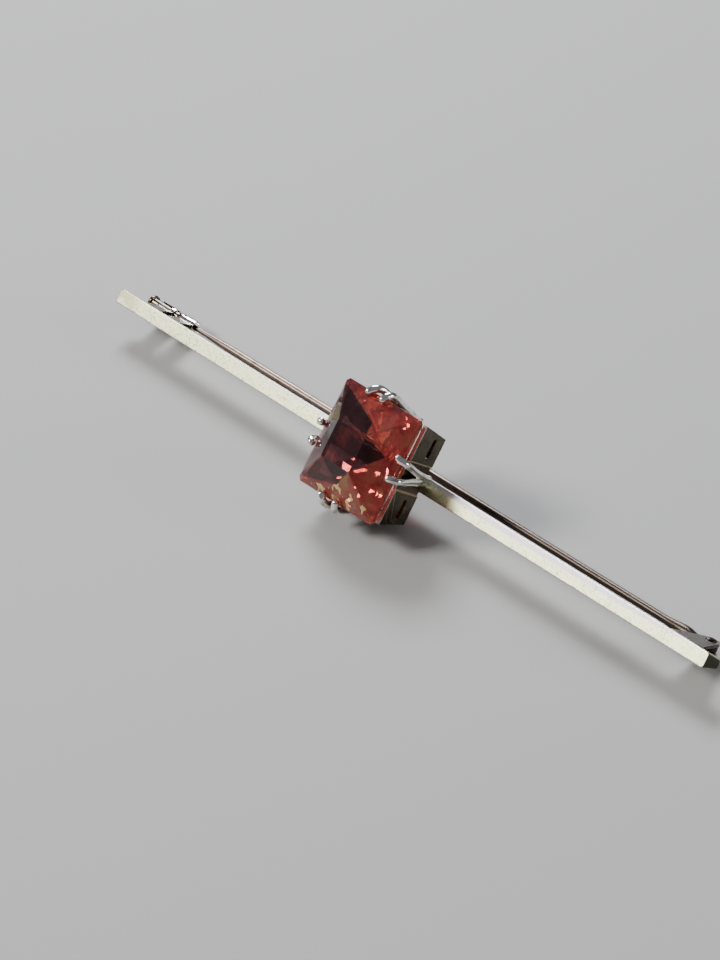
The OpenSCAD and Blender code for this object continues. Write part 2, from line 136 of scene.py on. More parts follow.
lean = math.radians(REST_LEAN)
MM = Matrix.Scale(0.001, 4)
SEATED = MM @ Matrix.Translation((REST_X, REST_Y, REST_Z)) @ Matrix.Rotation(lean, 4, "X")
FITTED = SEATED @ Matrix.Translation((0, 0, -BAR_T)) @ Matrix.Rotation(math.radians(FITTING_LEAN), 4, "X")
PIN_LINE = FITTED @ Matrix.Translation((0, 0, -PIN_DEPTH))


# Mesh helpers, all in millimetres
def mesh_object(name, verts, faces):
    mesh = bpy.data.meshes.new(name)
    mesh.from_pydata([tuple(v) for v in verts], [], faces)
    mesh.update()
    bm = bmesh.new()
    bm.from_mesh(mesh)
    bmesh.ops.recalc_face_normals(bm, faces=bm.faces)
    bm.to_mesh(mesh)
    bm.free()
    obj = bpy.data.objects.new(name, mesh)
    bpy.context.scene.collection.objects.link(obj)
    return obj


def applied(obj):
    """The object's modifiers become its mesh."""
    bpy.context.view_layer.update()
    dg = bpy.context.evaluated_depsgraph_get()
    mesh = bpy.data.meshes.new_from_object(obj.evaluated_get(dg), preserve_all_data_layers=True, depsgraph=dg)
    obj.modifiers.clear()
    obj.data = mesh
    return obj


def place(obj, matrix, body, material, angle=35.0):
    """Sets the piece down in the row frame, and gives it its body and material."""
    obj.data.transform(matrix)
    if angle is not None:
        for p in obj.data.polygons:
            p.use_smooth = True
        obj.data.set_sharp_from_angle(angle=math.radians(angle))
    obj.data.materials.clear()
    obj.data.materials.append(material)
    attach(obj, body)
    return obj


def bevelled(obj, width, segments=2, angle=30.0):
    m = obj.modifiers.new("bevel", "BEVEL")
    m.width, m.segments, m.limit_method = width, segments, "ANGLE"
    m.angle_limit = math.radians(angle)
    m.harden_normals = False
    return applied(obj)


def flat_faced(obj):
    """Keeps the shading of large faces flat beside their bevels."""
    m = obj.modifiers.new("flat", "WEIGHTED_NORMAL")
    m.keep_sharp, m.weight = True, 100
    return applied(obj)


def cut(obj, cutters):
    for c in cutters:
        m = obj.modifiers.new("cut", "BOOLEAN")
        m.operation, m.solver, m.object = "DIFFERENCE", "EXACT", c
        applied(obj)
        bpy.data.objects.remove(c)
    return obj


def prism(name, outline, axis, lo, hi):
    """An outline of (u, v) points drawn along an axis from lo to hi."""
    def at(p, w):
        return {"X": (w, p[0], p[1]), "Y": (p[0], w, p[1]), "Z": (p[0], p[1], w)}[axis]
    n = len(outline)
    verts = [at(p, lo) for p in outline] + [at(p, hi) for p in outline]
    faces = [tuple(range(n)), tuple(range(n, 2 * n))]
    faces += [(k, (k + 1) % n, n + (k + 1) % n, n + k) for k in range(n)]
    return mesh_object(name, verts, faces)


def skin(rings, steps, closed=False):
    """Faces between rings of that many points each. Unless it is closed, the first and last ring are filled."""
    faces = []
    for j in range(rings if closed else rings - 1):
        nj = (j + 1) % rings
        for k in range(steps):
            nk = (k + 1) % steps
            faces.append((j * steps + k, j * steps + nk, nj * steps + nk, nj * steps + k))
    if not closed:
        faces += [tuple(range(steps)), tuple((rings - 1) * steps + k for k in range(steps))]
    return faces


def lathe(name, profile, steps=48, closed=False):
    """A profile of (x, r) points turned about X. A closed profile makes a ring."""
    verts = []
    for x, r in profile:
        for k in range(steps):
            a = 2 * math.pi * k / steps
            verts.append((x, r * math.sin(a), r * math.cos(a)))
    return mesh_object(name, verts, skin(len(profile), steps, closed))


def rounded(points, r, steps=3):
    """The corners of a profile of (x, r) points rounded off; the two ends stay."""
    out = []
    n = len(points)
    for i, p in enumerate(points):
        if i in (0, n - 1):
            out.append(p)
            continue
        p, a, b = Vector(p), Vector(points[i - 1]), Vector(points[i + 1])
        ra = min(r, (a - p).length * 0.45)
        rb = min(r, (b - p).length * 0.45)
        pa, pb = p + (a - p).normalized() * ra, p + (b - p).normalized() * rb
        for k in range(steps + 1):
            t = k / steps
            out.append(tuple(pa * (1 - t) ** 2 + p * 2 * t * (1 - t) + pb * t * t))
    return out


def stadium(cu, cv, length, width, steps=10):
    """Outline of a slot whose round ends lie length apart along u."""
    pts = []
    for side in (1, -1):
        for k in range(steps + 1):
            a = math.radians(-90 + 180 * k / steps) if side > 0 else math.radians(90 + 180 * k / steps)
            pts.append((cu + side * length / 2 + width / 2 * math.cos(a), cv + width / 2 * math.sin(a)))
    return pts


# Materials
def nodes_of(name):
    mat = bpy.data.materials.new(name)
    mat.use_nodes = True
    nt = mat.node_tree
    return mat, nt, nt.nodes["Principled BSDF"], nt.nodes["Material Output"]


def linked(nt, kind, inputs, **settings):
    """A shader node with its settings and inputs; an input is a value or another node's output."""
    node = nt.nodes.new(kind)
    for key, value in settings.items():
        setattr(node, key, value)
    for key, value in inputs.items():
        if isinstance(value, bpy.types.NodeSocket):
            nt.links.new(value, node.inputs[key])
        else:
            node.inputs[key].default_value = value
    return node


def ranged(nt, value, low, high, to_low=0.0, to_high=1.0):
    node = linked(nt, "ShaderNodeMapRange", {"Value": value, "From Min": low, "From Max": high,
                                             "To Min": to_low, "To Max": to_high}, interpolation_type="SMOOTHSTEP")
    return node.outputs["Result"]


def product(nt, a, b, operation="MULTIPLY"):
    return linked(nt, "ShaderNodeMath", {0: a, 1: b}, operation=operation).outputs["Value"]


def tinted(nt, base, colour, share):
    """The base colour, moved towards another one by a share of 0 to 1."""
    mix = linked(nt, "ShaderNodeMix", {"Factor": share}, data_type="RGBA")
    for socket, value in ((mix.inputs[6], base), (mix.inputs[7], colour)):
        if isinstance(value, bpy.types.NodeSocket):
            nt.links.new(value, socket)
        else:
            socket.default_value = (*value, 1)
    return mix.outputs[2]


def metal(name, colour, dark, rough, rough_spread, scratch, grain=900.0):
    """Polished metal with cloudy tarnish, fine specks, scratches and worn roughness."""
    mat, nt, bsdf, _ = nodes_of(name)
    where = nt.nodes.new("ShaderNodeTexCoord").outputs["Object"]
    cloud = linked(nt, "ShaderNodeTexNoise", {"Vector": where, "Scale": grain, "Detail": 5.0, "Roughness": 0.6})
    ramp = linked(nt, "ShaderNodeValToRGB", {"Fac": cloud.outputs["Fac"]})
    for stop, place_at, value in zip(ramp.color_ramp.elements, (0.28, 0.5), (dark, colour)):
        stop.position, stop.color = place_at, (*value, 1)
    nt.links.new(ramp.outputs["Color"], bsdf.inputs["Base Color"])
    fine = linked(nt, "ShaderNodeTexNoise", {"Vector": where, "Scale": grain * 6, "Detail": 3.0}).outputs["Fac"]
    worn = linked(nt, "ShaderNodeMapRange", {"Value": fine, "From Min": 0.3, "From Max": 0.7,
                                             "To Min": rough - rough_spread, "To Max": rough + rough_spread})
    nt.links.new(worn.outputs["Result"], bsdf.inputs["Roughness"])
    bsdf.inputs["Metallic"].default_value = 1.0
    lines = linked(nt, "ShaderNodeTexWave", {"Vector": where, "Scale": grain * 0.9, "Distortion": 14.0,
                                             "Detail": 3.0, "Detail Scale": 2.0})
    height = product(nt, lines.outputs["Fac"], fine, "ADD")
    bump = linked(nt, "ShaderNodeBump", {"Height": height, "Strength": scratch, "Distance": 0.00002})
    nt.links.new(bump.outputs["Normal"], bsdf.inputs["Normal"])
    return mat


def axis_of(nt, vector, axis):
    return linked(nt, "ShaderNodeSeparateXYZ", {"Vector": vector}).outputs[axis]


def recoloured(mat, colour, share_of):
    """Moves a metal's colour towards another one by the share that share_of makes of its texture coordinates."""
    nt = mat.node_tree
    bsdf = nt.nodes["Principled BSDF"]
    base = bsdf.inputs["Base Color"].links[0].from_socket
    share = share_of(nt, nt.nodes.new("ShaderNodeTexCoord").outputs)
    nt.links.new(tinted(nt, base, colour, share), bsdf.inputs["Base Color"])


def bar_material():
    """Ivory-coloured silver with pits, freckles and a brown smudge at the left end; its bluish upper edge and rosy
    lower rim are painted reflections, and its darker upper bevel and right end face are painted shade.
    """
    mat, nt, bsdf, _ = nodes_of("bar_silver")
    coord = nt.nodes.new("ShaderNodeTexCoord")
    along, across = axis_of(nt, coord.outputs["UV"], "X"), axis_of(nt, coord.outputs["UV"], "Y")
    where = coord.outputs["Object"]
    cloud = linked(nt, "ShaderNodeTexNoise", {"Vector": where, "Scale": 700.0, "Detail": 4.0}).outputs["Fac"]
    fine = linked(nt, "ShaderNodeTexNoise", {"Vector": where, "Scale": 5200.0, "Detail": 3.0}).outputs["Fac"]
    pits = linked(nt, "ShaderNodeTexNoise", {"Vector": where, "Scale": 9000.0, "Detail": 1.0}).outputs["Fac"]
    ivory = tinted(nt, BAR_IVORY, BAR_GREEN, ranged(nt, cloud, 0.35, 0.65))
    # Painted reflection: a bluish band along the upper edge, its width set along the bar
    reach = nt.nodes.new("ShaderNodeValToRGB")
    nt.links.new(along, reach.inputs["Fac"])
    stops = reach.color_ramp.elements
    for place_x, width in REFLECTION_BAND_WIDTHS:
        stop = stops.new(place_x / BAR_LEN + 0.5)
        stop.color = (width, width, width, 1)
    stops.remove(stops[0])
    stops.remove(stops[-1])
    depth = product(nt, 1.0, across, "SUBTRACT")
    band = ranged(nt, product(nt, reach.outputs["Color"], depth, "SUBTRACT"), -0.1, 0.08)
    blue = tinted(nt, ivory, BAR_BLUE_REFLECTION, product(nt, band, 0.95))
    # Painted reflection: a rosy rim along the lower edge
    rosy = tinted(nt, blue, BAR_ROSE_REFLECTION, ranged(nt, across, -0.8, -0.9, 0.0, 0.8))
    smudge_x = ranged(nt, along, 0.05, 0.012)
    smudge = product(nt, smudge_x, ranged(nt, cloud, 0.36, 0.56))
    brown = tinted(nt, rosy, BAR_BROWN, product(nt, smudge, 0.6))
    grains = linked(nt, "ShaderNodeTexNoise", {"Vector": where, "Scale": 4600.0, "Detail": 3.0}).outputs["Fac"]
    freckles = product(nt, ranged(nt, grains, 0.54, 0.62), ranged(nt, cloud, 0.3, 0.6, 0.35, 1.0))
    freckled = tinted(nt, brown, BAR_FRECKLE, product(nt, freckles, ranged(nt, along, 0.0, 0.5, 1.0, 0.75)))
    speck = ranged(nt, pits, 0.66, 0.74)
    worn = tinted(nt, freckled, BAR_PIT, product(nt, speck, 0.7))
    facing = axis_of(nt, coord.outputs["Normal"], "X")
    # Painted shade: the upper bevel is darkened, which dims its highlight
    rim = tinted(nt, worn, BAR_RIM_SHADE, ranged(nt, across, 0.9, 0.94, 0.0, 0.9))
    # Painted shade: faces turned towards +X, the bar's right end, are made nearly black
    end_shade = tinted(nt, rim, BAR_END_SHADE, ranged(nt, facing, 0.4, 0.8, 0.0, 0.97))
    nt.links.new(end_shade, bsdf.inputs["Base Color"])
    nt.links.new(ranged(nt, fine, 0.3, 0.7, 0.32, 0.42), bsdf.inputs["Roughness"])
    bsdf.inputs["Metallic"].default_value = 1.0
    height = product(nt, product(nt, cloud, 0.6), product(nt, speck, -0.5), "ADD")
    bump = linked(nt, "ShaderNodeBump", {"Height": height, "Strength": 0.25, "Distance": 0.00003})
    nt.links.new(bump.outputs["Normal"], bsdf.inputs["Normal"])
    return mat


# Width of the painted bluish reflection along the bar's upper edge, in shares of half the bar's width, at places in
# mm along it
REFLECTION_BAND_WIDTHS = ((-28.0, 0.0), (-20.0, 0.25), (2.0, 0.32), (12.0, 0.8), (27.0, 0.74), (33.0, 0.42), (36.5, 0.08))
BAR_IVORY, BAR_GREEN, BAR_BLUE_REFLECTION = (0.9, 0.88, 0.6), (0.84, 0.86, 0.55), (0.66, 0.6, 0.71)
BAR_ROSE_REFLECTION, BAR_BROWN, BAR_PIT = (0.92, 0.76, 0.74), (0.42, 0.33, 0.24), (0.26, 0.23, 0.16)
BAR_FRECKLE, BAR_END_SHADE, BAR_RIM_SHADE = (0.5, 0.52, 0.36), (0.03, 0.027, 0.022), (0.42, 0.38, 0.32)
SILVER_FACE = bar_material()
SILVER_CLAW = metal("claw_silver", (0.96, 0.94, 0.9), (0.2, 0.15, 0.1), 0.11, 0.04, 0.06, 1100.0)
# Painted shade: the gallery, the fittings behind the bar, the pin and the hinge's ears get far darker colours than
# the claws' silver
SILVER_DARK = metal("gallery_silver", (0.115, 0.098, 0.07), (0.03, 0.025, 0.018), 0.3, 0.06, 0.2)
SILVER_BACK = metal("fitting_silver", (0.15, 0.122, 0.09), (0.045, 0.03, 0.018), 0.22, 0.06, 0.1)
PIN_METAL = metal("pin_metal", (0.22, 0.165, 0.14), (0.12, 0.085, 0.07), 0.36, 0.05, 0.04)
EAR_METAL = metal("ear_silver", (0.085, 0.07, 0.052), (0.03, 0.022, 0.015), 0.26, 0.07, 0.15)


def panel_edge_highlight(nt, coords):
    """Painted highlight: gold along the edges of the gallery's sunk panels, where V is 1 or -1."""
    along = product(nt, axis_of(nt, coords["UV"], "Y"), 0.0, "ABSOLUTE")
    edge = product(nt, ranged(nt, along, 0.93, 0.98), ranged(nt, along, 1.08, 1.04))
    return product(nt, edge, 0.8)


def top_rim_highlight(nt, coords):
    """Painted highlight: a pale line along the gallery's top rim, where U is 1."""
    return ranged(nt, axis_of(nt, coords["UV"], "X"), 0.975, 0.99)


def hinge_end_shade(nt, coords):
    """Painted shade over the pin's half on the side of its hinge, in metres along X."""
    return ranged(nt, axis_of(nt, coords["Object"], "X"), -0.006, 0.008, 0.0, 0.9)


def ear_rim_highlight(nt, coords):
    """Painted highlight: a pale ring round the hinge's rivet, where U is 1."""
    out = axis_of(nt, coords["UV"], "X")
    return product(nt, product(nt, ranged(nt, out, 0.86, 0.97), ranged(nt, out, 1.2, 1.05)), 0.8)


recoloured(SILVER_DARK, (0.8, 0.62, 0.38), panel_edge_highlight)
recoloured(SILVER_DARK, (0.85, 0.82, 0.76), top_rim_highlight)
recoloured(PIN_METAL, (0.035, 0.027, 0.022), hinge_end_shade)
recoloured(EAR_METAL, (0.7, 0.58, 0.44), ear_rim_highlight)


def gem_material():
    """Red stone: its first UV coordinate runs from its blackest facets to its palest as painted shade and light, with
    painted reflections in patches and painted gold glints.
    """
    mat, nt, bsdf, out = nodes_of("stone_red")
    coord = nt.nodes.new("ShaderNodeTexCoord")
    where = coord.outputs["Object"]
    tone = axis_of(nt, coord.outputs["UV"], "X")
    # Painted reflections: noise and cells break the facets' tones into lighter and darker patches
    reflection_noise = linked(nt, "ShaderNodeTexNoise", {"Vector": where, "Scale": 1100.0, "Detail": 5.0}).outputs["Fac"]
    wear = linked(nt, "ShaderNodeTexNoise", {"Vector": where, "Scale": 2600.0, "Detail": 4.0}).outputs["Fac"]
    cells = linked(nt, "ShaderNodeTexVoronoi", {"Vector": where, "Scale": 1000.0}, distance="MANHATTAN")
    piece = axis_of(nt, cells.outputs["Color"], "X")
    reflection_mottle = product(nt, ranged(nt, reflection_noise, 0.3, 0.7, -0.1, 0.1), ranged(nt, piece, 0.0, 1.0, -0.13, 0.13), "ADD")
    shade = product(nt, tone, product(nt, reflection_mottle, ranged(nt, tone, 0.1, 0.6, 0.3, 1.0)), "ADD")
    ramp = linked(nt, "ShaderNodeValToRGB", {"Fac": shade})
    stops = ramp.color_ramp.elements
    for place_at, colour in STONE_LIGHT_AND_SHADE:
        stops.new(place_at).color = (*colour, 1)
    stops.remove(stops[0])
    stops.remove(stops[-1])
    # Painted glints: gold spots on the palest facets, where the stone also lets less light through
    glint_cells = linked(nt, "ShaderNodeTexVoronoi", {"Vector": where, "Scale": 2000.0}, distance="MANHATTAN")
    chance = axis_of(nt, glint_cells.outputs["Color"], "Y")
    painted_glint = product(nt, ranged(nt, chance, 0.87, 0.89), ranged(nt, tone, 0.7, 0.74))
    nt.links.new(tinted(nt, ramp.outputs["Color"], GLINT_GOLD, painted_glint), bsdf.inputs["Base Color"])
    nt.links.new(ranged(nt, painted_glint, 0.0, 1.0, 0.84, 0.42), bsdf.inputs["Transmission Weight"])
    nt.links.new(ranged(nt, wear, 0.62, 0.8, 0.0, 0.12), bsdf.inputs["Roughness"])
    bsdf.inputs["IOR"].default_value = 1.7
    bsdf.inputs["Specular IOR Level"].default_value = 0.3
    bsdf.inputs["Specular Tint"].default_value = (0.3, 0.22, 0.2, 1)
    inside = linked(nt, "ShaderNodeVolumeAbsorption", {"Color": (0.82, 0.3, 0.22, 1), "Density": 105.0})
    nt.links.new(inside.outputs["Volume"], out.inputs["Volume"])
    return mat


# The stone's colours for its painted shade and light, from its blackest facets to its palest and on to the gold of
# its painted glints
STONE_LIGHT_AND_SHADE = ((0.01, (0.04, 0.014, 0.016)), (0.25, (0.17, 0.078, 0.092)), (0.5, (0.85, 0.14, 0.13)),
                 (0.8, (1.0, 0.3, 0.23)), (0.99, (0.86, 0.6, 0.22)))
GLINT_GOLD = (0.97, 0.74, 0.3)
GEM = gem_material()


# Bar
def bar_half_width(x):
    t = min(1.0, abs(x) / (BAR_LEN / 2))
    return (BAR_W_MID + (BAR_W_END - BAR_W_MID) * t) / 2


def bar_edge_wear(x, side):
    """Inward wobble of the bar's long edges, with a few nicks at seeded places."""
    w = 0.012 * noise.noise(Vector((x * 0.35, side * 7.3, 1.7)))
    for nx, ns, depth, width in ((10.2, -1, 0.05, 0.22), (12.0, -1, 0.04, 0.16), (22.4, -1, 0.05, 0.2),
                                 (-33.5, 1, 0.04, 0.18), (27.0, 1, 0.04, 0.2), (-18.0, 1, 0.03, 0.25)):
        if ns == side:
            w += depth * math.exp(-((x - nx) / width) ** 2)
    return max(w, 0.0)


# Where the mesh rows run along the bar's face and back, in shares of its width: close to the edges they keep it flat
FACE_ROWS = (0.03, 0.5, 0.97)
# How many steps the mesh has along the bar, and how far its edge wear reaches down from the face
BAR_STEPS, WEAR_DEPTH = 460, 0.3


def build_bar():
    """Outlines of the bar, inset by level, stacked from back to front."""
    half, r = BAR_LEN / 2, BAR_CORNER_R
    xs = [-half + r + (BAR_LEN - 2 * r) * k / BAR_STEPS for k in range(BAR_STEPS + 1)]
    levels = []
    for front in (False, True):
        steps = range(5) if not front else range(4, -1, -1)
        for k in steps:
            a = math.radians(90 * k / 4)
            inset = BAR_BEVEL * (1 - math.sin(a))
            z = -BAR_BEVEL * (1 - math.cos(a)) if front else -BAR_T + BAR_BEVEL * (1 - math.cos(a))
            levels.append((inset, z))

    def rim(inset, taper):
        """Upper half of the outline, from the left end's middle to the right end's."""
        pts = []
        for e in (-1, 1):
            arc = []
            hw = bar_half_width(half) - inset - taper
            for k in range(9):
                a = math.radians(90 * k / 8)
                arc.append((e * (half - r + (r - inset) * math.cos(a)), hw - (r - inset) * (1 - math.sin(a))))
            arc.insert(0, (e * (half - inset), 0.12))
            if e < 0:
                pts += arc
                pts += [(x, bar_half_width(x) - inset - taper) for x in xs[1:-1]]
            else:
                pts += arc[::-1]
        return pts
    verts, faces = [], []
    count = len(rim(0, 0))
    for inset, z in levels:
        up = rim(inset, -z / BAR_T * BAR_TAPER)
        ring = [(x, y - (bar_edge_wear(x, 1) if z > -WEAR_DEPTH else 0), z) for x, y in up]
        ring += [(x, -y + (bar_edge_wear(x, -1) if z > -WEAR_DEPTH else 0), z) for x, y in reversed(up)]
        verts += ring
    n = 2 * count
    for j in range(len(levels) - 1):
        for k in range(n):
            faces.append((j * n + k, j * n + (k + 1) % n, (j + 1) * n + (k + 1) % n, (j + 1) * n + k))
    for j in (0, len(levels) - 1):
        rows = [[j * n + k for k in range(count)]]
        lower = [j * n + n - 1 - k for k in range(count)]
        for t in FACE_ROWS:
            row = []
            for k in range(count):
                a, b = Vector(verts[rows[0][k]]), Vector(verts[lower[k]])
                row.append(len(verts))
                verts.append(tuple(a.lerp(b, t)))
            rows.append(row)
        rows.append(lower)
        for above, below in zip(rows, rows[1:]):
            for k in range(count - 1):
                faces.append((above[k], above[k + 1], below[k + 1], below[k]))
        for k in (0, count - 1):
            faces.append(tuple(row[k] for row in rows))
    return mesh_object("bar", verts, faces)


def mapped(obj, name, uv_of):
    """A UV map that gives each corner uv_of its point."""
    layer = obj.data.uv_layers.new(name=name)
    for loop in obj.data.loops:
        layer.data[loop.index].uv = uv_of(obj.data.vertices[loop.vertex_index].co)
    return obj


bar = mapped(build_bar(), "flat", lambda p: (p.x / BAR_LEN + 0.5, p.y / bar_half_width(p.x)))
flat_faced(place(bar, SEATED, "frame", SILVER_FACE))


# Gallery. The middle of each side, behind the claws, is a slightly sunk panel
PANEL_HALF, PANEL_SUNK, GALLERY_BEVEL = 1.25, 0.12, 0.035


def gallery_block(name, margin, z0, z1):
    """A block whose sides lean out from the gallery's foot to its top, less a margin all round."""
    verts = []
    for z in (z0, z1):
        share = z / GALLERY_D
        hw, hh = (foot + (gallery_top(half) - foot) * share - margin for foot, half in zip(HALF_BOX, HALF_STONE))
        verts += [(-hw, -hh, z), (hw, -hh, z), (hw, hh, z), (-hw, hh, z)]
    sides = [(k, (k + 1) % 4, 4 + (k + 1) % 4, 4 + k) for k in range(4)]
    return mesh_object(name, verts, [(0, 1, 2, 3), (4, 5, 6, 7), *sides])


def build_gallery():
    box = gallery_block("gallery", 0.0, 0.0, GALLERY_D)
    cutters = [gallery_block("c", GALLERY_WALL, -1.0, GALLERY_D + 1)]
    mid, length = SLOT_START + SLOT_LEN / 2, SLOT_LEN - SLOT_W
    for across in ("X", "Y"):
        for s in (-1, 1):
            cutters.append(prism("c", stadium(s * mid, SLOT_Z, length, SLOT_W), across, -6.0, 6.0))
    for side, axis in ((0, "Y"), (1, "X")):
        foot = HALF_BOX[side] - PANEL_SUNK
        flare = (gallery_top(HALF_STONE[side]) - HALF_BOX[side]) / GALLERY_D
        for s in (-1, 1):
            outline = [(s * (foot + flare * z + out), z) for z, out in ((-1, 0), (4, 0), (4, 2), (-1, 2))]
            cutters.append(prism("c", outline, axis, -PANEL_HALF, PANEL_HALF))
    cut(box, cutters)
    bevelled(box, GALLERY_BEVEL, 2)
    box.data.transform(Matrix.Translation((0, SETTING_SHIFT, 0)))
    return box


def gallery_map(p):
    """Height in shares of the gallery's, and the place along its side in shares of half a sunk panel."""
    across = p.y - SETTING_SHIFT
    along = across if abs(p.x) / HALF_BOX[0] > abs(across) / HALF_BOX[1] else p.x
    return p.z / GALLERY_D, along / PANEL_HALF


gallery = mapped(build_gallery(), "level", gallery_map)
flat_faced(place(gallery, SEATED, "frame", SILVER_DARK))


# Claws
def spline(points, n):
    pts = [Vector(p) for p in points]
    last = len(pts) - 1
    out = []
    for i in range(last):
        a, b, c, d = pts[max(i - 1, 0)], pts[i], pts[i + 1], pts[min(i + 2, last)]
        for k in range(n):
            t = k / n
            out.append(0.5 * (2 * b + (c - a) * t + (2 * a - 5 * b + 4 * c - d) * t * t
                              + (3 * b - a - 3 * c + d) * t ** 3))
    return out + [pts[last]]


def wire(line, radius, steps=24):
    """Verts and faces of a round wire along a line, cut level at its foot and rounded at its far end."""
    verts = []
    last = len(line) - 1
    rings = [(line[0], Vector((0, 0, 1)), radius)]
    for i in range(1, last + 1):
        rings.append((line[i], (line[min(i + 1, last)] - line[i - 1]).normalized(), radius))
    end, t = line[last], rings[-1][1]
    for a in (12, 24, 36, 48, 60, 70, 79, 86):
        a = math.radians(a)
        rings.append((end + t * radius * math.sin(a), t, radius * math.cos(a)))
    for p, t, r in rings:
        side = t.cross(Vector((0, 1, 0))).normalized()
        up = side.cross(t)
        for k in range(steps):
            a = 2 * math.pi * k / steps
            verts.append(p + side * (r * math.cos(a)) + up * (r * math.sin(a)))
    return verts, skin(len(rings), steps)


def ball(centre, radius, rows=12, steps=20):
    """Verts and faces of a ball."""
    verts = []
    for j in range(1, rows):
        a = math.pi * j / rows
        for k in range(steps):
            b = 2 * math.pi * k / steps
            spot = Vector((math.sin(a) * math.cos(b), math.sin(a) * math.sin(b), math.cos(a)))
            verts.append(Vector(centre) + radius * spot)
    return verts, skin(rows - 1, steps)


# The remeshing below takes a little off a wire, so it starts thicker
REMESH_LOSS, CLAW_VOXEL = 1.05, 0.03
# A bead of solder sits where the two wires of a pair part
BEAD_OUT, BEAD_UP, BEAD_R = 0.15, 0.3, 0.22


def build_claws(name, side):
    """Two wires and their bead of solder, fused into one mesh."""
    parts = [wire(spline(claw_line(side, sgn), 12), CLAW_R * REMESH_LOSS) for sgn in (-1, 1)]
    out, _, up = claw_line(side, 1)[1]
    parts.append(ball((out + BEAD_OUT, CLAW_SHIFTS[side][0], up + BEAD_UP), BEAD_R))
    verts, faces = [], []
    for part_verts, part_faces in parts:
        faces += [tuple(len(verts) + i for i in face) for face in part_faces]
        verts += part_verts
    pair = mesh_object(name, verts, faces)
    m = pair.modifiers.new("fuse", "REMESH")
    m.mode, m.voxel_size, m.use_smooth_shade = "VOXEL", CLAW_VOXEL, True
    s = pair.modifiers.new("soften", "SMOOTH")
    s.factor, s.iterations = 0.5, 4
    applied(pair)
    turn = Matrix.Rotation(math.radians(90 * side), 4, "Z")
    pair.data.transform(Matrix.Translation((0, SETTING_SHIFT, 0)) @ turn)
    return place(pair, SEATED, "frame", SILVER_CLAW, None)


claws = [build_claws(name, side) for side, name in
         enumerate(("claws_right", "claws_upper", "claws_left", "claws_lower"))]


# Stone
def cut_square(hw, hh, corner, z):
    out = []
    for qx, qy in ((1, 1), (-1, 1), (-1, -1), (1, -1)):
        for k in ((0, 1) if qx * qy > 0 else (1, 0)):
            out.append((qx * (hw - (corner if k else 0)), qy * (hh - (0 if k else corner)), z))
    return out


def build_stone():
    hw, hh = HALF_STONE
    pts = cut_square(hw, hh, STONE_CORNER, GIRDLE_Z - GIRDLE_T / 2)
    pts += cut_square(hw, hh, STONE_CORNER, GIRDLE_TOP)
    pts += cut_square(hw - STEP_W, hh - STEP_W, STEP_CUT * STONE_CORNER, GIRDLE_TOP + STEP_H)
    pts += cut_square(TABLE_W / 2, TABLE_H / 2, TABLE_CUT * STONE_CORNER, GIRDLE_Z + CROWN_H)
    (ro, ra, rh), (uo, ua, uh), (lo, la, lh), (bo, ba, bh) = CROSSINGS
    pts += [(hw * ro, hh * ra, GIRDLE_Z + CROWN_H * rh), (hw * ua, hh * uo, GIRDLE_Z + CROWN_H * uh),
            (-hw * lo, hh * la, GIRDLE_Z + CROWN_H * lh), (hw * ba, -hh * bo, GIRDLE_Z + CROWN_H * bh)]
    for share, depth in PAVILION:
        pts += cut_square(hw * share, hh * share, STONE_CORNER * share, GIRDLE_Z - PAVILION_D * depth)
    mesh = bpy.data.meshes.new("red_stone")
    bm = bmesh.new()
    for p in pts:
        bm.verts.new((p[0], p[1] + SETTING_SHIFT, p[2]))
    bmesh.ops.convex_hull(bm, input=bm.verts)
    inner = [v for v in bm.verts if not v.link_faces]
    bmesh.ops.delete(bm, geom=inner, context="VERTS")
    bmesh.ops.dissolve_limit(bm, angle_limit=math.radians(0.4), verts=bm.verts, edges=bm.edges)
    bmesh.ops.recalc_face_normals(bm, faces=bm.faces)
    bm.to_mesh(mesh)
    bm.free()
    obj = bpy.data.objects.new("red_stone", mesh)
    bpy.context.scene.collection.objects.link(obj)
    return obj


# Painted light and shade on the stone: how pale its facets are, by the place of their middle along the bar in mm.
# Those round the table get painted shade
FACET_LIGHT_TONES = ((-4.5, 0.3), (-1.7, 0.08), (0.3, 0.55), (2.5, 0.62), (4.5, 0.68))
INNER_FROM, INNER_SHADE_SHARE = GIRDLE_Z + 0.8 * CROWN_H, 0.25
# Crown facets on the lower side, whose normals point down the bar by more than this, get painted gold glints
GLINT_SLOPE, GLINT_LIFT = -0.1, 0.25
TABLE_SHADE_TONE = 0.25


def build_shaded_stone():
    stone = build_stone()
    layer = stone.data.uv_layers.new(name="tone")
    # Each facet's painted light and shade goes into the tone UV map
    for facet in stone.data.polygons:
        tone = between(facet.center.x, FACET_LIGHT_TONES)
        if facet.normal.z > 0.99:
            tone = TABLE_SHADE_TONE
        elif facet.center.z > INNER_FROM:
            tone *= INNER_SHADE_SHARE
        elif facet.normal.y < GLINT_SLOPE and facet.normal.z > 0:
            tone += GLINT_LIFT
        for corner in facet.loop_indices:
            layer.data[corner].uv = (tone, 0.0)
    return place(stone, SEATED, "frame", GEM, None)


stone = build_shaded_stone()


# Hinge
FITTING_BEVEL = 0.05


def circle(cu, cv, r, steps=40):
    return [(cu + r * math.cos(2 * math.pi * k / steps), cv + r * math.sin(2 * math.pi * k / steps))
            for k in range(steps)]


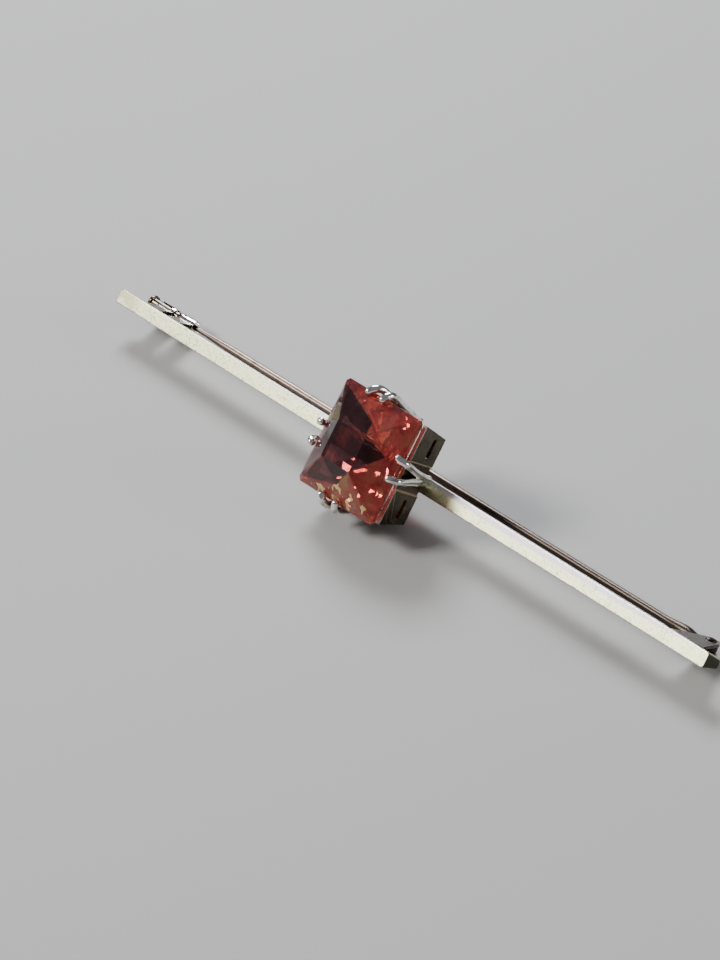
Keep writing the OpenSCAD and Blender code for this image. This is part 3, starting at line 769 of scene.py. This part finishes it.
def build_ear(name, side):
    foot, drop = EAR_FOOT / 2, PIN_DEPTH + SOLDER
    turn = math.atan2(drop, foot) - math.acos(EAR_R / math.hypot(foot, drop))
    outline = [(HINGE_X + foot, SOLDER), (HINGE_X - foot, SOLDER)]
    for k in range(25):
        a = math.pi - turn + (math.pi + 2 * turn) * k / 24
        outline.append((HINGE_X + EAR_R * math.cos(a), EAR_R * math.sin(a) - PIN_DEPTH))
    lo = side * (KNUCKLE_T / 2 + SIDE_GAP)
    hi = side * HINGE_HALF
    ear = prism(name, outline, "Y", min(lo, hi), max(lo, hi))
    cut(ear, [prism("c", circle(HINGE_X, -PIN_DEPTH, RIVET_R + RIVET_GAP), "Y", -2, 2)])
    bevelled(ear, FITTING_BEVEL, 3)
    mapped(ear, "round", lambda p: (math.hypot(p.x - HINGE_X, p.z + PIN_DEPTH) / EAR_R, 0.0))
    return flat_faced(place(ear, FITTED, "frame", EAR_METAL))


ears = [build_ear("hinge_ear_upper", 1), build_ear("hinge_ear_lower", -1)]


def build_rivet():
    out = HINGE_HALF + RIVET_GAP
    dome = [(out + RIVET_HEAD_H * math.sin(math.radians(a)), RIVET_HEAD_R * math.cos(math.radians(a)))
            for a in (0, 12, 26, 42, 58, 74, 86)]
    profile = [(-x, r) for x, r in reversed(dome)]
    profile += [(-out, RIVET_R), (out, RIVET_R)] + dome
    rivet = lathe("rivet", profile)
    rivet.data.transform(Matrix.Rotation(math.radians(90), 4, "Z"))
    rivet.data.transform(Matrix.Translation((HINGE_X, 0, 0)))
    return place(rivet, PIN_LINE, "frame", PIN_METAL)


rivet = build_rivet()


# Catch. The webs widen where they are soldered to the bar
BORE_R = SLIDE_R + SLIDE_FIT
WEB_FLARE = 0.14


def tube(name, x0, x1, r, bore, edge=0.05):
    soft = rounded([(x0, (bore + r) / 2)] + [(x0, r), (x1, r), (x1, bore), (x0, bore)] + [(x0, (bore + r) / 2)], edge)
    return lathe(name, soft[:-1], closed=True)


def build_hook():
    gate = PIN_END_R + HOOK_GAP
    hook = tube("catch_hook", HOOK_X - HOOK_LEN, HOOK_X, TUBE_R, BORE_R)
    cutter = prism("c", [(-gate, -2), (gate, -2), (gate, 0), (-gate, 0)], "X", HOOK_X - HOOK_LEN - 1, HOOK_X + 1)
    cut(hook, [cutter])
    return place(hook, PIN_LINE, "frame", SILVER_CLAW)


def build_guide():
    guide = tube("catch_guide", GUIDE_X - GUIDE_LEN, GUIDE_X, TUBE_R, BORE_R)
    inner = GUIDE_X - GUIDE_WHOLE
    outline = stadium((inner + GUIDE_X - GUIDE_LEN - 1) / 2, 0, inner - GUIDE_X + GUIDE_LEN + 1, GUIDE_SLOT_W)
    cutter = prism("c", outline, "Z", 0, 2)
    cutter.data.transform(Matrix.Rotation(math.radians(GUIDE_SLOT_TURN - 180), 4, "X"))
    cut(guide, [cutter])
    return place(guide, PIN_LINE, "frame", SILVER_CLAW)


def build_web(name, x0, x1):
    top, bottom = SOLDER + PIN_DEPTH, (BORE_R + TUBE_R) / 2
    half, wide = WEB_T / 2, WEB_T / 2 + WEB_FLARE
    side = [(half, bottom), (half, top - SOLDER - 0.25), (wide, top - SOLDER - 0.03), (wide, top)]
    outline = side + [(-u, v) for u, v in reversed(side)]
    web = prism(name, outline, "X", x0, x1)
    bevelled(web, FITTING_BEVEL, 3)
    return flat_faced(place(web, PIN_LINE, "frame", SILVER_BACK))


catch = [build_hook(), build_guide(),
         build_web("catch_web_inner", HOOK_X - HOOK_LEN, HOOK_X),
         build_web("catch_web_outer", GUIDE_X - GUIDE_LEN, GUIDE_X)]


def build_slide():
    b, r, p = SLIDE_BORE_R, SLIDE_R, PULL_R
    x1, x0, xo = SLIDE_X, PULL_X, PULL_X - PULL_T
    outer = [(xo, (b + p) / 2), (xo, p), (x0, p), (x0 + 0.001, r), (x1, r), (x1, b), (xo, b), (xo, (b + p) / 2)]
    profile = rounded(outer, 0.08)
    slide = lathe("slide_tube", profile[:-1], 60, closed=True)
    return place(slide, PIN_LINE, "slide", SILVER_BACK)


slide = build_slide()


# Pin
def build_pin():
    """Sections along the pin: round stem, swelling, then a flat knuckle with its bore."""
    end_x = HOOK_X + PIN_END_LEN - HOOK_LEN
    taper_x = end_x + PIN_TAPER
    swell_x = HINGE_X - EAR_R - SWELL_LEN - NECK_LEN
    neck_x = HINGE_X - KNUCKLE_R * 0.92
    stations = []

    def add(x, hy, hz, power):
        stations.append((x, hy, hz, power))

    for k in range(9):
        t = k / 8
        r = PIN_POINT_R + (PIN_END_R - PIN_POINT_R) * math.sin(t * math.pi / 2)
        add(PIN_TIP_X + PIN_POINT * t, r, r, 2)
    add(end_x, PIN_END_R, PIN_END_R, 2)
    for k in range(1, 9):
        t = k / 8
        r = PIN_END_R + (PIN_R - PIN_END_R) * (t * t * (3 - 2 * t))
        add(end_x + PIN_TAPER * t, r, r, 2)
    for k in range(1, 30):
        add(taper_x + (swell_x - taper_x) * k / 30, PIN_R, PIN_R, 2)
    for k in range(17):
        t = k / 16
        r = PIN_R + (SWELL_R - PIN_R) * (t * t * (3 - 2 * t))
        add(swell_x + SWELL_LEN * SWELL_REACH * t, r, r, 2)
    x0 = swell_x + SWELL_LEN * SWELL_REACH
    flat = KNUCKLE_T / 2
    for k in range(1, 17):
        t = k / 16
        ease = t * t * (3 - 2 * t)
        x = x0 + (neck_x - x0) * t
        hy = SWELL_R + (flat - SWELL_R) * min(1.0, ease * 1.3)
        disc = KNUCKLE_R ** 2 - (x - HINGE_X) ** 2
        hz = max(SWELL_R + (0.24 - SWELL_R) * ease, math.sqrt(disc) if disc > 0 else 0)
        add(x, hy, hz, 2 + 3 * ease)
    for k in range(1, 24):
        a = math.radians(157 - 157 * k / 23.5)
        add(HINGE_X + KNUCKLE_R * math.cos(a), flat, max(KNUCKLE_R * math.sin(a), 0.03), 5 + 5 * k / 23)
    steps = 40
    verts = []
    for x, hy, hz, p in stations:
        for k in range(steps):
            a = 2 * math.pi * k / steps
            c, s = math.cos(a), math.sin(a)
            y = hy * math.copysign(abs(c) ** (2 / p), c)
            z = hz * math.copysign(abs(s) ** (2 / p), s)
            verts.append((x, y, z))
    pin = mesh_object("pin", verts, skin(len(stations), steps))
    cut(pin, [prism("c", circle(HINGE_X, 0, RIVET_R + HINGE_FIT), "Y", -2, 2)])
    return place(pin, PIN_LINE, "pin", PIN_METAL)


pin = build_pin()

# The CAD nodes that the built pieces stand in for are hidden
for piece in [bar, gallery, *claws, *ears, *catch]:
    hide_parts("brooch_frame")
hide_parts("stone")
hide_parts("hinge_rivet")
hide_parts("catch_slide")
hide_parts("pin_stem")


# Floor, lights and camera, in metres. The floor lies a hair under the part, so no faces coincide
FLOOR_HALF, FLOOR_DROP = 4, 0.00002


def build_floor():
    mesh = bpy.data.meshes.new("floor")
    h = FLOOR_HALF
    mesh.from_pydata([(-h, -h, 0), (h, -h, 0), (h, h, 0), (-h, h, 0)], [], [(0, 1, 2, 3)])
    floor = bpy.data.objects.new("floor", mesh)
    bpy.context.scene.collection.objects.link(floor)
    floor.location.z = -FLOOR_DROP
    mat, nt, bsdf, _ = nodes_of("pale_floor")
    bsdf.inputs["Base Color"].default_value = (0.46, 0.46, 0.46, 1)
    bsdf.inputs["Roughness"].default_value = 0.7
    mesh.materials.append(mat)
    return floor


def soft_light(name, direction, distance, width, height, power, colour=(1, 1, 1)):
    """A rectangle of light that looks at the brooch from that direction."""
    data = bpy.data.lights.new(name, "AREA")
    data.shape, data.size, data.size_y = "RECTANGLE", width, height
    data.energy, data.color = power, colour
    lamp = bpy.data.objects.new(name, data)
    d = Vector(direction).normalized()
    lamp.location = d * distance
    lamp.rotation_mode = "QUATERNION"
    lamp.rotation_quaternion = d.to_track_quat("Z", "Y")
    bpy.context.scene.collection.objects.link(lamp)
    return lamp


# The photograph's focal length and height in pixels, and a sensor height in mm to suit
FOCAL_PX, PHOTO_PX, SENSOR = 4844, 960, 36.0


def build_camera():
    """The photograph's view of the brooch, worked out from the bar, the stone and the gallery."""
    right = Vector((0.6177, 0.4413, -0.651))
    down = Vector((0.3901, -0.8906, -0.2336))
    spot = Vector((260.75, 39.91, 278.47))
    turn = Matrix.Rotation(lean, 3, "X")
    right = (turn @ right).normalized()
    up = -(turn @ down)
    up = (up - right * up.dot(right)).normalized()
    data = bpy.data.cameras.new("camera")
    data.sensor_width, data.lens = SENSOR, FOCAL_PX / PHOTO_PX * SENSOR
    data.clip_start, data.clip_end = 0.01, 50
    cam = bpy.data.objects.new("camera", data)
    cam.matrix_world = Matrix((
        (right.x, up.x, right.cross(up).x, 0), (right.y, up.y, right.cross(up).y, 0),
        (right.z, up.z, right.cross(up).z, 0), (0, 0, 0, 1)))
    cam.location = SEATED @ spot
    bpy.context.scene.collection.objects.link(cam)
    bpy.context.scene.camera = cam
    return cam


build_floor()
build_camera()
soft_light("key", (-0.57, -0.54, 0.62), 0.62, 0.2, 0.14, 3.7, (1.0, 0.98, 0.93))
soft_light("back", (-0.66, 0.47, 0.58), 0.62, 0.22, 0.16, 4.0, (0.95, 0.97, 1.0))
soft_light("side", (0.9, 0.5, 0.3), 0.7, 0.25, 0.2, 1.5, (1.0, 0.97, 0.93))
world = bpy.data.worlds.new("studio")
world.use_nodes = True
world.node_tree.nodes["Background"].inputs["Color"].default_value = (0.9, 0.93, 1.0, 1)
world.node_tree.nodes["Background"].inputs["Strength"].default_value = 0.18
bpy.context.scene.world = world
